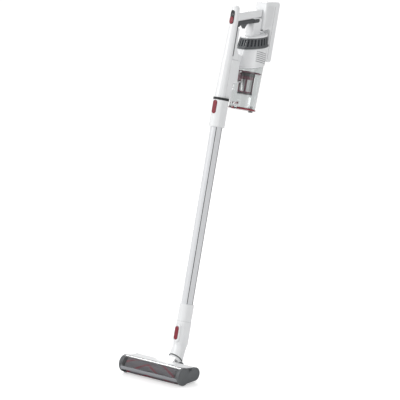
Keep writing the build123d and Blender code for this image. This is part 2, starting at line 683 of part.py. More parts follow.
def head_hull(x_low, x_high, inset=0.0):
    """The head's body: its two round lobes joined by tangent lines."""
    with BuildPart() as body:
        with BuildSketch(Plane.YZ.offset(x_low)):
            with Locations((HOUSE_Y, HOUSE_Z)):
                Circle(HOUSE_R - inset)
            with Locations((REAR_Y, REAR_Z)):
                Circle(REAR_R - inset)
            make_hull()
        extrude(amount=x_high - x_low)
    return body.part


def bean(x_low, x_high, inset=0.0, edge=0.0):
    """The end cap's outline: two round lobes with a waist between them."""
    with BuildPart() as body:
        with BuildSketch(Plane.YZ.offset(x_low)) as outline:
            with Locations((HOUSE_Y, HOUSE_Z)):
                Circle(HOUSE_R)
            with Locations((REAR_Y, REAR_Z)):
                Circle(REAR_R)
            with Locations(((HOUSE_Y + REAR_Y) / 2, 23.0)):
                Rectangle(REAR_Y - HOUSE_Y, 35.0)
            waist = outline.vertices().filter_by(lambda v: HOUSE_Y + 5 < v.Y < REAR_Y - 3)
            fillet(waist, 5.5)
            if inset:
                offset(amount=-inset, mode=Mode.REPLACE)
        extrude(amount=x_high - x_low)
        if edge:
            outer = body.faces().filter_by(Axis.X).sort_by(Axis.X)[-1 if x_low > 0 else 0]
            fillet(outer.edges(), edge)
    return body.part


with BuildPart() as head_cover:
    add(head_hull(-BODY_HALF, BODY_HALF))
    # hood that rises towards the neck
    with BuildSketch(Plane.XZ.offset(-2.0)):
        with Locations((0, 40.0)):
            Rectangle(70.0, 18.0)
    with BuildSketch(Plane.XZ.offset(-33.5)):
        with Locations((0, 45.0)):
            Rectangle(47.0, 24.0)
    loft()
    add(head_hull(-BODY_HALF, BODY_HALF, inset=WALL), mode=Mode.SUBTRACT)
    with BuildSketch(Plane.XZ.offset(-8.0)):
        with Locations((0, 38.0)):
            Rectangle(60.0, 14.0)
    with BuildSketch(Plane.XZ.offset(-40.0)):
        with Locations((0, 42.0)):
            Rectangle(42.0, 25.0)
    loft(mode=Mode.SUBTRACT)
    add(box(-130, 130, -90, WINDOW_TOP_Y, -5, 80), mode=Mode.SUBTRACT)
    add(box(-130, 130, -90, 60, -5, SOLE_HIGH), mode=Mode.SUBTRACT)
    # way through the rear wall for the neck's fork, and slots for the wheels
    add(box(-29.2, 29.2, 12, 60, 5, 41), mode=Mode.SUBTRACT)
    for flank in (-1, 1):
        middle = flank * WHEEL_X
        add(box(middle - 7.5, middle + 7.5, 12, 60, -5, 23), mode=Mode.SUBTRACT)
write("head_cover", head_cover.part)

with BuildPart() as brush_window:
    add(axle(-BODY_HALF, BODY_HALF, HOUSE_R, HOUSE_Y, HOUSE_Z, bore=HOUSE_R - 2.2))
    add(box(-130, 130, WINDOW_TOP_Y, 0, -5, 80), mode=Mode.SUBTRACT)
    add(box(-130, 130, -90, 0, -5, LENS_TOP_Z), mode=Mode.SUBTRACT)
write("brush_window", brush_window.part)

LIGHTS = [-9.0 + 35.0 * step for step in (-1, 0, 1)]
LIGHT_BOX = (-69.3, -67.9, 25.2, 28.6)
with BuildPart() as light_lens:
    add(axle(-BODY_HALF, BODY_HALF, HOUSE_R, HOUSE_Y, HOUSE_Z, bore=HOUSE_R - 2.2))
    add(axle(-BODY_HALF, BODY_HALF, NAP_R + 0.6, ROLL_Y, ROLL_Z), mode=Mode.SUBTRACT)
    add(box(-130, 130, HOUSE_Y, 0, -5, 80), mode=Mode.SUBTRACT)
    add(box(-130, 130, -90, 0, LENS_TOP_Z, 80), mode=Mode.SUBTRACT)
    add(box(-130, 130, -90, 0, -5, LENS_LOW_Z), mode=Mode.SUBTRACT)
    for light in LIGHTS:
        add(box(light - 2.5, light + 2.5, *LIGHT_BOX), mode=Mode.SUBTRACT)
write("light_lens", light_lens.part)

with BuildPart() as lights:
    for light in LIGHTS:
        add(box(light - 2.5, light + 2.5, *LIGHT_BOX))
write("lights", lights.part)

with BuildPart() as head_base:
    add(box(-115.8, 115.8, MOUTH_REAR, 20.5, SOLE_LOW, SOLE_HIGH))
    # the sole runs forward under the belt drive; the other end is open, for the brush to come out
    add(box(-115.8, -106.0, -56.0, MOUTH_REAR, SOLE_LOW, SOLE_HIGH))
    for flank in (-1, 1):
        # posts and cheeks of the neck's fork
        low = min(flank * CHEEK_LOW, flank * CHEEK_HIGH)
        cheek = CHEEK_HIGH - CHEEK_LOW
        add(box(low, low + cheek, 10.0, 20.5, SOLE_HIGH, 36.0))
        add(box(low, low + cheek, 20.5, PITCH_Y, 18.0, 36.0))
        add(axle(low, low + cheek, 10.0, PITCH_Y, PITCH_Z))
        # end plates of the brush chamber
        low = min(flank * 113.6, flank * 115.8)
        add(head_hull(low, low + 2.2, inset=WALL + 0.1))
        add(box(low, low + 2.2, MOUTH_REAR, 12.0, SOLE_LOW, 20.0))
        add(box(flank * WHEEL_X - 7.5, flank * WHEEL_X + 7.5, 2, 30, -5, 23), mode=Mode.SUBTRACT)
    # wall behind the brush, with the suction throat
    add(box(-104.5, 113.6, -13.0, -11.0, SOLE_HIGH, 48.5))
    add(box(-20, 20, -14, -10, 12, 40), mode=Mode.SUBTRACT)
    add(axle(-140, 140, PIN_R, PITCH_Y, PITCH_Z), mode=Mode.SUBTRACT)
    add(axle(100, 140, NAP_R + 0.6, ROLL_Y, ROLL_Z), mode=Mode.SUBTRACT)
    add(axle(-140, -100, 6.5, ROLL_Y, ROLL_Z), mode=Mode.SUBTRACT)
    add(axle(-110, 110, 2 + FIT, WHEEL_Y, WHEEL_R), mode=Mode.SUBTRACT)
write("head_base", head_base.part)

with BuildPart() as left_cap:
    add(bean(-HEAD_HALF, -BODY_HALF, edge=2.6))
    add(bean(-HEAD_HALF + 3.0, -BODY_HALF, inset=2.6), mode=Mode.SUBTRACT)
    add(axle(-HEAD_HALF + 3.0, -109.0, PIN_R, ROLL_Y, ROLL_Z))
write("left_cap", left_cap.part)

with BuildPart() as right_cap:
    add(bean(BODY_HALF, HEAD_HALF, edge=2.6))
    add(bean(BODY_HALF, HEAD_HALF - 3.0, inset=2.6), mode=Mode.SUBTRACT)
    add(axle(98.0, HEAD_HALF - 3.0, 6.0, ROLL_Y, ROLL_Z))
write("right_cap", right_cap.part)

with BuildPart() as brush_core:
    add(axle(-ROLL_END, ROLL_END, CORE_R, ROLL_Y, ROLL_Z))
    add(axle(-112.5, -ROLL_END, 9.0, ROLL_Y, ROLL_Z))
    add(axle(-113, -100, PIN_R + FIT, ROLL_Y, ROLL_Z), mode=Mode.SUBTRACT)
    add(axle(96, 110, 6.0 + FIT, ROLL_Y, ROLL_Z), mode=Mode.SUBTRACT)
write("brush_core", brush_core.part)

with BuildPart() as brush_nap:
    add(axle(-ROLL_END + 1, ROLL_END - 1, NAP_R, ROLL_Y, ROLL_Z, bore=CORE_R))
write("brush_nap", brush_nap.part)

DRIVE_Y, DRIVE_Z, SHAFT_R, PULLEY_R = 6.0, 27.0, 2.5, 5.0
with BuildPart() as brush_motor:
    add(axle(-78, -33, 12.5, DRIVE_Y, DRIVE_Z, edge=1.0))
    add(axle(-80, -68, SHAFT_R + FIT, DRIVE_Y, DRIVE_Z), mode=Mode.SUBTRACT)
write("brush_motor", brush_motor.part)

with BuildPart() as motor_pulley:
    add(axle(-112.5, -68.5, SHAFT_R, DRIVE_Y, DRIVE_Z))
    add(axle(-112.5, -106.0, PULLEY_R, DRIVE_Y, DRIVE_Z))
write("motor_pulley", motor_pulley.part)

with BuildPart() as drive_belt:
    with BuildSketch(Plane.YZ.offset(-112.0)):
        with Locations((ROLL_Y, ROLL_Z)):
            Circle(9.0 + 1.6)
        with Locations((DRIVE_Y, DRIVE_Z)):
            Circle(PULLEY_R + 1.6)
        make_hull()
    extrude(amount=5.5)
    with BuildSketch(Plane.YZ.offset(-112.0)):
        with Locations((ROLL_Y, ROLL_Z)):
            Circle(9.0 + FIT)
        with Locations((DRIVE_Y, DRIVE_Z)):
            Circle(PULLEY_R + FIT)
        make_hull()
    extrude(amount=5.5, mode=Mode.SUBTRACT)
write("drive_belt", drive_belt.part)

with BuildPart() as rear_wheels:
    add(axle(-98, 98, 2.0, WHEEL_Y, WHEEL_R))
    for flank in (-1, 1):
        middle = flank * WHEEL_X
        add(axle(middle - WHEEL_WIDTH / 2, middle + WHEEL_WIDTH / 2, WHEEL_R, WHEEL_Y, WHEEL_R, edge=1.5))
write("rear_wheels", rear_wheels.part)

with BuildPart() as felt_strip:
    add(box(-50, 50, -9, 9, 0, SOLE_LOW))
write("felt_strip", felt_strip.part)
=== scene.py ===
"""Cordless stick vacuum: detailed pieces and finishes over the CAD frame, with a plain studio stage."""

import json
import random
from math import atan2, cos, pi, radians, sin, sqrt

import bmesh
import bpy
from bpy.props import FloatProperty, FloatVectorProperty, IntProperty, PointerProperty
from mathutils import Matrix, Vector


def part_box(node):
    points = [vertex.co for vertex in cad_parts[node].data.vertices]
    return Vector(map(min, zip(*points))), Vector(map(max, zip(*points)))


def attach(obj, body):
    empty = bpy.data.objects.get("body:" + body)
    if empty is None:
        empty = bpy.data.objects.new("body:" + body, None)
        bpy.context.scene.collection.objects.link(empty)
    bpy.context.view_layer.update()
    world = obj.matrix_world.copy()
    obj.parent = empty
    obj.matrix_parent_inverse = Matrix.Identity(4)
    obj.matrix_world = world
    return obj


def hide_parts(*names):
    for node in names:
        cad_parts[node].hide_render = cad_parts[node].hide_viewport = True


bl_info = {
    "name": "Cordless Stick Vacuum",
    "version": (1, 0, 0),
    "blender": (4, 5, 0),
    "location": "3D View > Sidebar > Vacuum",
    "description": "Details, finishes and a studio stage for a cordless stick vacuum",
    "category": "Object",
}

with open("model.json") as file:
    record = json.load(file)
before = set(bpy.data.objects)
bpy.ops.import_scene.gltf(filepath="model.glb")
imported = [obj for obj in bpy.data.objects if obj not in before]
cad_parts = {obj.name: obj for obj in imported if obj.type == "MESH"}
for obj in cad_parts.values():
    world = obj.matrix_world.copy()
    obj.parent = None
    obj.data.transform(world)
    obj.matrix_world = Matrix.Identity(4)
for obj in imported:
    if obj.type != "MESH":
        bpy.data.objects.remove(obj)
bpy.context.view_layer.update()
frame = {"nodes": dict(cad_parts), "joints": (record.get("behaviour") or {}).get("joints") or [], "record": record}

# ---------------------------------------------------------------- the frame's own directions

MM = 0.001
JOINTS = {joint["name"]: joint for joint in frame["joints"]}
UP = -Vector(JOINTS["wand_slide"]["axis"]).normalized()       # along the leaning wand
BACK = Vector((0.0, UP.z, -UP.y))                             # from the wand towards the battery
LEAN = atan2(UP.y, UP.z)
MOTOR_DEPTH, IMPELLER_HEIGHT = 112.0, 986.0
FOOT = Vector(JOINTS["impeller_spin"]["pos_m"]) - (BACK * MOTOR_DEPTH + UP * IMPELLER_HEIGHT) * MM
TILT = radians(17.4)                                          # slant of the motor barrel's ends


def placed(origin, across, height):
    """A matrix from millimetres along X, across and height to the frame."""
    columns = Matrix(((1, across.x, height.x), (0, across.y, height.y), (0, across.z, height.z)))
    return Matrix.Translation(origin) @ columns.to_4x4() @ Matrix.Scale(MM, 4)


WAND = placed(FOOT, BACK, UP)
ON_FLOOR = Matrix.Scale(MM, 4)


def slanted(height):
    """The frame of the motor barrel's slanted plane that crosses its axis at a height."""
    lean = LEAN - TILT
    normal = Vector((0, sin(lean), cos(lean)))
    return placed(WAND @ Vector((0, MOTOR_DEPTH, height)), Vector((0, normal.z, -normal.y)), normal)


def at_joint(name, across, height):
    """A frame at a joint's own place."""
    return placed(Vector(JOINTS[name]["pos_m"]), across, height)


# ---------------------------------------------------------------- outlines


def circle(radius, height, count=64, reach=None, centre=(0.0, 0.0)):
    """Points round a circle, or an ellipse with its own reach, at a height."""
    far = radius if reach is None else reach
    turns = [2 * pi * step / count for step in range(count)]
    return [Vector((centre[0] + radius * cos(a), centre[1] + far * sin(a), height)) for a in turns]


def slot(half, reach, count=64):
    """Points round a slot whose long side is its second direction."""
    points = []
    for step in range(count):
        turn = 2 * pi * (step + 0.5) / count
        shift = (reach - half) * (1 if sin(turn) > 0 else -1)
        points.append((half * cos(turn), half * sin(turn) + shift))
    return points


def pill(width, length, depth, middle, count=48):
    """A pill outline on the wand's front, at a depth and about a middle height."""
    return [Vector((x, depth, middle + z)) for x, z in slot(width / 2, length / 2, count)]


def arc(centre, radius, start, end, count):
    """Points along an arc, with the angles in degrees."""
    step = (end - start) / (count - 1)
    angles = [radians(start + step * index) for index in range(count)]
    return [(centre[0] + radius * cos(a), centre[1] + radius * sin(a)) for a in angles]


def bean(inset, x):
    """The end cap's outline in Y and Z: two lobes with a waist, moved in by an inset."""
    front, rear = Vector((-42.0, 30.0)), Vector((12.0, 27.0))
    front_r, rear_r, waist = 28.0, 21.5, 5.5
    top, low = 40.5, 5.5
    rise = top + waist
    fall = low - waist
    left = Vector((front.x + sqrt((front_r + waist) ** 2 - (rise - front.y) ** 2), rise))
    right = Vector((rear.x - sqrt((rear_r + waist) ** 2 - (rise - rear.y) ** 2), rise))
    under = Vector((front.x + sqrt((front_r + waist) ** 2 - (fall - front.y) ** 2), fall))
    to_left = degrees_of(left - front)
    to_right = degrees_of(right - rear)
    to_under = degrees_of(under - front) + 360
    outline = arc(front, front_r - inset, to_left, to_under, 40)
    outline += arc(under, waist + inset, to_under - 180, 90, 8)
    outline += arc(rear, rear_r - inset, -90, to_right, 36)
    outline += arc(right, waist + inset, to_right + 180, 270, 8)
    outline += arc(left, waist + inset, 270, to_left + 180, 8)
    return [Vector((x, y, z)) for y, z in outline]


def degrees_of(direction):
    """The angle of a flat direction, in degrees."""
    return atan2(direction.y, direction.x) * 180 / pi


# ---------------------------------------------------------------- mesh making


def skin(sections, looped=False):
    """A mesh through equal closed sections, capped, or looped from the last section to the first."""
    shape = bmesh.new()
    rings = [[shape.verts.new(point) for point in section] for section in sections]
    pairs = list(zip(rings, rings[1:])) + ([(rings[-1], rings[0])] if looped else [])
    for low, high in pairs:
        for index in range(len(low)):
            after = (index + 1) % len(low)
            shape.faces.new((low[index], low[after], high[after], high[index]))
    if not looped:
        shape.faces.new(rings[0][::-1])
        shape.faces.new(rings[-1])
    bmesh.ops.recalc_face_normals(shape, faces=shape.faces)
    return shape


def hoop(outer, inner):
    """A ring between two pairs of outlines: each is its low and its high outline."""
    return skin([outer[0], outer[1], inner[1], inner[0]], looped=True)


WIRE_SIDES = 8


def tube(path, radius):
    """A round wire along a path."""
    sections = []
    normal = Vector((0.0, 0.0, 1.0))
    for index, point in enumerate(path):
        ahead = path[min(index + 1, len(path) - 1)] - path[max(index - 1, 0)]
        ahead.normalize()
        normal = (normal - ahead * normal.dot(ahead)).normalized()
        side = ahead.cross(normal)
        turns = [2 * pi * step / WIRE_SIDES for step in range(WIRE_SIDES)]
        sections.append([point + (normal * cos(a) + side * sin(a)) * radius for a in turns])
    return skin(sections)


def joined(shapes):
    """Several meshes as one."""
    whole = bmesh.new()
    for shape in shapes:
        copy = bpy.data.meshes.new("part")
        shape.to_mesh(copy)
        shape.free()
        whole.from_mesh(copy)
        bpy.data.meshes.remove(copy)
    return whole


def strip(low, high, half, depth_in, depth_out, face):
    """A long thin bar from one point to another, on a flank whose outward direction is face."""
    along = (high - low).normalized()
    side = along.cross(face).normalized()
    sections = []
    for end in (low, high):
        corners = [(-half, depth_in), (half, depth_in), (half * 0.8, depth_out), (-half * 0.8, depth_out)]
        sections.append([end + side * across + face * out for across, out in corners])
    return skin(sections)


def piece(name, shape, place, body, finish, nodes=(), sharp=35.0):
    """Puts a mesh in the frame as a piece that rides on a body and takes a finish."""
    bmesh.ops.transform(shape, matrix=place, verts=shape.verts)
    mesh = bpy.data.meshes.new(name)
    shape.to_mesh(mesh)
    shape.free()
    mesh.shade_smooth()
    mesh.set_sharp_from_angle(angle=radians(sharp))
    made = bpy.data.objects.new(name, mesh)
    bpy.context.scene.collection.objects.link(made)
    mesh.materials.append(bpy.data.materials[finish])
    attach(made, body)
    if nodes:
        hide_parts(*nodes)
    return made


# ---------------------------------------------------------------- shared effects


def new_group(name, inputs, outputs):
    """An empty shader node group with named number and colour sockets."""
    group = bpy.data.node_groups.new(name, "ShaderNodeTree")
    for socket, value in inputs.items():
        kind = "NodeSocketColor" if isinstance(value, tuple) else "NodeSocketFloat"
        group.interface.new_socket(socket, in_out="INPUT", socket_type=kind).default_value = value
    for socket, kind in outputs.items():
        group.interface.new_socket(socket, in_out="OUTPUT", socket_type=kind)
    return group, group.nodes.new("NodeGroupInput"), group.nodes.new("NodeGroupOutput")


def math(tree, operation, first, second=None):
    """A Math node over sockets or numbers. Returns its output."""
    node = tree.nodes.new("ShaderNodeMath")
    node.operation = operation
    for socket, value in zip(node.inputs, (first, second)):
        if isinstance(value, bpy.types.NodeSocket):
            tree.links.new(value, socket)
        elif value is not None:
            socket.default_value = value
    return node.outputs[0]


def noise(tree, scale, detail=3.0, stretch=None):
    """Noise over the object's own place. A stretch scales along X, across and along the wand."""
    node = tree.nodes.new("ShaderNodeTexNoise")
    node.inputs["Detail"].default_value = detail
    place = tree.nodes.new("ShaderNodeTexCoord").outputs["Object"]
    if stretch:
        turned = tree.nodes.new("ShaderNodeMapping")
        turned.inputs["Rotation"].default_value = (LEAN, 0, 0)
        tree.links.new(place, turned.inputs["Vector"])
        scaled = tree.nodes.new("ShaderNodeMapping")
        scaled.inputs["Scale"].default_value = stretch
        tree.links.new(turned.outputs["Vector"], scaled.inputs["Vector"])
        place = scaled.outputs["Vector"]
    tree.links.new(place, node.inputs["Vector"])
    if isinstance(scale, bpy.types.NodeSocket):
        tree.links.new(scale, node.inputs["Scale"])
    else:
        node.inputs["Scale"].default_value = scale
    return node.outputs["Fac"]


def build_tone():
    """Soft patches that shift a colour a little, and the roughness with it: handling and dust."""
    group, given, out = new_group(
        "tone",
        {"Color": (0.8, 0.8, 0.8, 1), "Patch Scale": 14.0, "Shift": 0.04, "Roughness": 0.3, "Spread": 0.08},
        {"Color": "NodeSocketColor", "Roughness": "NodeSocketFloat"},
    )
    patches = noise(group, given.outputs["Patch Scale"], 4.0)
    shade = math(group, "SUBTRACT", 1.0, math(group, "MULTIPLY", patches, given.outputs["Shift"]))
    mix = group.nodes.new("ShaderNodeMix")
    mix.data_type, mix.blend_type = "RGBA", "MULTIPLY"
    mix.inputs["Factor"].default_value = 1.0
    group.links.new(given.outputs["Color"], mix.inputs["A"])
    group.links.new(shade, mix.inputs["B"])
    group.links.new(mix.outputs["Result"], out.inputs["Color"])
    smears = noise(group, math(group, "MULTIPLY", given.outputs["Patch Scale"], 5.0), 5.0, (1.0, 1.0, 0.3))
    swing = math(group, "MULTIPLY", math(group, "SUBTRACT", smears, 0.5), given.outputs["Spread"])
    group.links.new(math(group, "ADD", given.outputs["Roughness"], swing), out.inputs["Roughness"])


def build_grain():
    """Moulding grain: a fine pebble over a slow swell, as a height."""
    group, given, out = new_group(
        "grain", {"Scale": 900.0, "Depth": 0.4, "Swell": 0.2}, {"Height": "NodeSocketFloat"}
    )
    pebble = group.nodes.new("ShaderNodeTexVoronoi")
    group.links.new(group.nodes.new("ShaderNodeTexCoord").outputs["Object"], pebble.inputs["Vector"])
    group.links.new(given.outputs["Scale"], pebble.inputs["Scale"])
    fine = math(group, "MULTIPLY", pebble.outputs["Distance"], given.outputs["Depth"])
    slow = math(group, "MULTIPLY", noise(group, 40.0, 2.0), given.outputs["Swell"])
    group.links.new(math(group, "ADD", fine, slow), out.inputs["Height"])


def build_lines():
    """Long faint lines down an extruded or drawn piece, as a height."""
    group, given, out = new_group(
        "drawn_lines", {"Scale": 600.0, "Depth": 0.5}, {"Height": "NodeSocketFloat"}
    )
    lines = noise(group, given.outputs["Scale"], 2.0, (1.0, 1.0, 0.01))
    group.links.new(math(group, "MULTIPLY", lines, given.outputs["Depth"]), out.inputs["Height"])


def use(tree, name, **values):
    """Places a shared effect in a material, with its own values."""
    node = tree.nodes.new("ShaderNodeGroup")
    node.node_tree = bpy.data.node_groups[name]
    for socket, value in values.items():
        node.inputs[socket.replace("_", " ")].default_value = value
    return node


def finish(name, colour, rough, spread=0.08, shift=0.05, patch=14.0, effect="grain", bump=0.05, **height):
    """A material: toned colour and roughness, and a bump from a shared effect."""
    # the frame brings a plain material with each slot's name, which must not be found instead
    loaded = bpy.data.materials.get(name)
    if loaded:
        loaded.name = f"{name}_plain"
    made = bpy.data.materials.new(name)
    made.use_nodes = True
    tree = made.node_tree
    shader = tree.nodes["Principled BSDF"]
    tone = use(
        tree, "tone", Color=(*colour, 1), Patch_Scale=patch, Shift=shift, Roughness=rough, Spread=spread
    )
    tree.links.new(tone.outputs["Color"], shader.inputs["Base Color"])
    tree.links.new(tone.outputs["Roughness"], shader.inputs["Roughness"])
    relief = tree.nodes.new("ShaderNodeBump")
    relief.inputs["Strength"].default_value = bump
    relief.inputs["Distance"].default_value = 0.0004
    tree.links.new(use(tree, effect, **height).outputs["Height"], relief.inputs["Height"])
    tree.links.new(relief.outputs["Normal"], shader.inputs["Normal"])
    return tree, shader, tone


PLASTIC_IOR = 1.49
SHADOW_PASS = 0.88                                            # share of a shadow let through


def clear(tree, shader, through):
    """Makes a finish see-through, and lets most of the light on to what is behind it."""
    shader.inputs["Transmission Weight"].default_value = through
    shader.inputs["IOR"].default_value = PLASTIC_IOR
    shadow = tree.nodes.new("ShaderNodeLightPath").outputs["Is Shadow Ray"]
    kept = math(tree, "SUBTRACT", 1.0, math(tree, "MULTIPLY", shadow, SHADOW_PASS * through))
    tree.links.new(kept, shader.inputs["Alpha"])


# ---------------------------------------------------------------- settings


def colour_of(name, slot_name):
    """A colour setting whose default is the record's own colour for a slot."""
    given = {item["slot"]: item["base_color"] for item in frame["record"]["materials"]}
    return FloatVectorProperty(
        name=name,
        description=f"Colour of the {name.lower()}",
        subtype="COLOR",
        size=3,
        min=0.0,
        max=1.0,
        default=tuple(given[slot_name][:3]),
    )


class VacuumColours(bpy.types.PropertyGroup):
    """Colours of the vacuum's finishes."""

    shell: colour_of("White shells", "white_gloss")
    trim: colour_of("Dark trim", "dark_grey")
    button: colour_of("Red buttons", "red_gloss")
    wand: colour_of("Wand tube", "tube_white")
    cyclone: colour_of("Cyclone plastic", "cyclone_purple")
    window: colour_of("Brush window", "smoke_window")
    fleece: FloatVectorProperty(
        name="Roll fibre", description="Colour of the brush roll's fibre",
        subtype="COLOR", size=3, min=0.0, max=1.0, default=(0.17, 0.16, 0.175),
    )
    bristle: FloatVectorProperty(
        name="Bristles", description="Colour of the stiff bristle rows",
        subtype="COLOR", size=3, min=0.0, max=1.0, default=(0.42, 0.012, 0.05),
    )


class VacuumSizes(bpy.types.PropertyGroup):
    """Sizes of the added details."""

    fleece_radius: FloatProperty(
        name="Fibre radius", description="Radius of the roll's soft fibre, under its bristles",
        default=0.0236, min=0.018, max=0.0244, unit="LENGTH", subtype="DISTANCE",
    )
    bristle_rows: IntProperty(
        name="Bristle rows", description="Helical rows of bristles", default=4, min=1, max=8
    )
    pleats: IntProperty(
        name="Filter pleats", description="Folds of the exhaust filter", default=72, min=24, max=140
    )
    seam: FloatProperty(
        name="Seam width", description="Width of the dark line where two shells meet",
        default=0.0006, min=0.0002, max=0.002, unit="LENGTH", subtype="DISTANCE",
    )


class VacuumStage(bpy.types.PropertyGroup):
    """Floor, lights and camera."""

    floor_size: FloatProperty(
        name="Floor", description="Side of the square floor",
        default=60.0, min=4.0, max=200.0, unit="LENGTH", subtype="DISTANCE",
    )
    key_power: FloatProperty(
        name="Key light", description="Power of the large front light",
        default=92.0, min=0.0, max=3000.0, subtype="POWER", unit="POWER",
    )
    floor_glow: FloatProperty(
        name="Floor glow", description="Light that the floor adds of its own, to look white",
        default=0.46, min=0.0, max=2.0,
    )
    sky: FloatProperty(name="Sky", description="Strength of the even light", default=0.66, min=0.0, max=3.0)
    view_turn: FloatProperty(
        name="View turn", description="How far the camera stands round from the front",
        default=radians(40.1), subtype="ANGLE", unit="ROTATION",
    )
    view_drop: FloatProperty(
        name="View drop", description="How far the camera looks down",
        default=radians(12.04), subtype="ANGLE", unit="ROTATION",
    )
    lens: FloatProperty(
        name="Lens", description="Focal length in millimetres", default=193.5, min=20.0, max=500.0
    )


NODE_FINISHES = {"grip_insert": "grip", "light_lens": "silver_strip", "loop_pad": "panel_white"}


class VACUUM_OT_finishes(bpy.types.Operator):
    """Make every finish and give it to the CAD nodes"""

    bl_idname = "vacuum.finishes"
    bl_label = "Finishes"

    def execute(self, context):
        colours = context.scene.vacuum_colours
        build_tone()
        build_grain()
        build_lines()
        _, shader, _ = finish("white_gloss", colours.shell, 0.24, Scale=700.0, Depth=0.15, Swell=0.6)
        shader.inputs["Coat Weight"].default_value = 0.35
        shader.inputs["Coat Roughness"].default_value = 0.08
        # a greyer copy of the shell's white; on the battery's side panels it is painted shade
        finish("panel_white", [0.9 * c for c in colours.shell], 0.33, Scale=900.0, Depth=0.4)
        finish("dark_grey", colours.trim, 0.42, bump=0.25, Scale=1400.0, Depth=0.5, Swell=0.2)
        finish("grip", [0.7 * c for c in colours.trim], 0.55, bump=0.5, Scale=1100.0, Depth=0.9)
        deep = [0.8 * c for c in colours.button]
        _, shader, _ = finish("red_gloss", deep, 0.26, Scale=800.0, Depth=0.2, Swell=0.4)
        shader.inputs["Coat Weight"].default_value = 0.5
        _, shader, _ = finish("tube_white", colours.wand, 0.3, effect="drawn_lines", bump=0.12, Scale=700.0)
        shader.inputs["Metallic"].default_value = 0.1
        shader.inputs["Coat Weight"].default_value = 0.4
        tree, shader, _ = finish(
            "clear", [0.93, 0.95, 0.95], 0.04, spread=0.02, shift=0.03, bump=0.003, Scale=60.0
        )
        clear(tree, shader, 1.0)
        pale = [0.62 + 0.3 * c for c in colours.window]
        tree, shader, _ = finish("smoke_window", pale, 0.05, spread=0.02, bump=0.003, Scale=60.0)
        clear(tree, shader, 1.0)
        tree, shader, _ = finish(
            "smoked_liner", [0.03, 0.035, 0.05], 0.12, spread=0.2, patch=60.0, Scale=300.0
        )
        clear(tree, shader, 0.25)
        _, shader, _ = finish("silver_strip", [0.34, 0.35, 0.37], 0.2, Scale=500.0, Depth=0.2)
        shader.inputs["Metallic"].default_value = 0.5
        deep = [0.8 * c for c in colours.cyclone]
        tree, shader, _ = finish("cyclone_purple", deep, 0.18, Scale=500.0, Depth=0.2)
        clear(tree, shader, 0.15)
        for name, tint, rough in (("steel", 0.58, 0.28), ("steel_mesh", 0.5, 0.36)):
            tree, shader, _ = finish(name, [tint] * 3, rough, effect="drawn_lines", bump=0.2, Scale=1500.0)
            shader.inputs["Metallic"].default_value = 1.0
        self.perforate(tree, shader)
        finish("rubber", [0.022, 0.022, 0.024], 0.62, bump=0.4, Scale=1200.0, Depth=0.8)
        # grey of the sheet behind the louvres: painted shade for the housing's shaded inside
        finish("louvre_grey", [0.3, 0.31, 0.33], 0.5, Scale=900.0)
        finish("seam_black", [0.016, 0.016, 0.018], 0.5, Scale=900.0)
        pale = [0.7, 0.71, 0.72]
        finish("filter_cloth", pale, 0.9, shift=0.25, patch=200.0, bump=0.8, Scale=2500.0, Depth=1.0)
        finish("filter_dark", [0.035, 0.042, 0.06], 0.6, shift=0.4, patch=120.0, bump=0.6, Scale=2200.0)
        finish("felt", [0.12, 0.12, 0.13], 0.95, shift=0.4, patch=400.0, bump=1.0, Scale=3000.0, Depth=1.0)
        finish("fleece", colours.fleece, 0.85, shift=0.5, patch=500.0, bump=1.0, Scale=2600.0, Depth=1.0)
        stripe = [0.3 * f + 0.5 * b for f, b in zip(colours.fleece, colours.bristle)]
        finish("fleece_stripe", stripe, 0.85, shift=0.5, patch=500.0, bump=1.0, Scale=2600.0, Depth=1.0)
        finish("bristle", colours.bristle, 0.45, shift=0.4, patch=300.0, bump=0.3)
        finish("board", [0.02, 0.12, 0.05], 0.4, shift=0.5, patch=260.0, bump=0.4, Scale=1500.0)
        finish("cell_wrap", [0.08, 0.18, 0.4], 0.3, Scale=600.0)
        finish("bellows", [0.09, 0.09, 0.1], 0.5, bump=0.3, Scale=1200.0)
        _, shader, _ = finish("lamp", [0.96, 0.97, 1.0], 0.3, Scale=800.0)
        shader.inputs["Emission Color"].default_value = (0.86, 0.93, 1.0, 1)
        shader.inputs["Emission Strength"].default_value = 3.0
        for subpart in frame["record"]["subparts"]:
            node = subpart["node"]
            name = NODE_FINISHES.get(node, subpart["material_slot"])
            mesh = frame["nodes"][node].data
            mesh.materials.clear()
            mesh.materials.append(bpy.data.materials[name])
        return {"FINISHED"}

    def perforate(self, tree, shader):
        """Fine round holes through the cyclone's mesh."""
        holes = tree.nodes.new("ShaderNodeTexVoronoi")
        holes.inputs["Scale"].default_value = 900.0
        holes.inputs["Randomness"].default_value = 0.0
        tree.links.new(tree.nodes.new("ShaderNodeTexCoord").outputs["Object"], holes.inputs["Vector"])
        solid = math(tree, "GREATER_THAN", holes.outputs["Distance"], 0.34)
        tree.links.new(solid, shader.inputs["Alpha"])


# ---------------------------------------------------------------- handheld unit


class VACUUM_OT_slider_bezel(bpy.types.Operator):
    """Add the power slider's seat, frame and bands"""

    bl_idname = "vacuum.slider_bezel"
    bl_label = "Slider Bezel"

    middle, width, length = 1087.5, 14.7, 44.7

    def execute(self, context):
        seat = skin([
            pill(self.width, self.length, -11.1, self.middle),
            pill(self.width, self.length, -12.2, self.middle),
            pill(self.width - 0.8, self.length - 0.8, -12.5, self.middle),
        ])
        piece("slider_seat", seat, WAND, "handheld", "seam_black")
        outer = [pill(self.width, self.length, depth, self.middle) for depth in (-12.4, -14.2)]
        inner = [pill(self.width - 1.0, self.length - 1.0, depth, self.middle) for depth in (-12.4, -14.2)]
        piece("slider_frame", hoop(outer, inner), WAND, "handheld", "dark_grey")
        window = [pill(self.width - 4.0, 5.0, depth, self.middle + 8.6, 32) for depth in (-12.4, -12.8)]
        piece("slider_mark", skin(window), WAND, "handheld", "white_gloss")
        return {"FINISHED"}


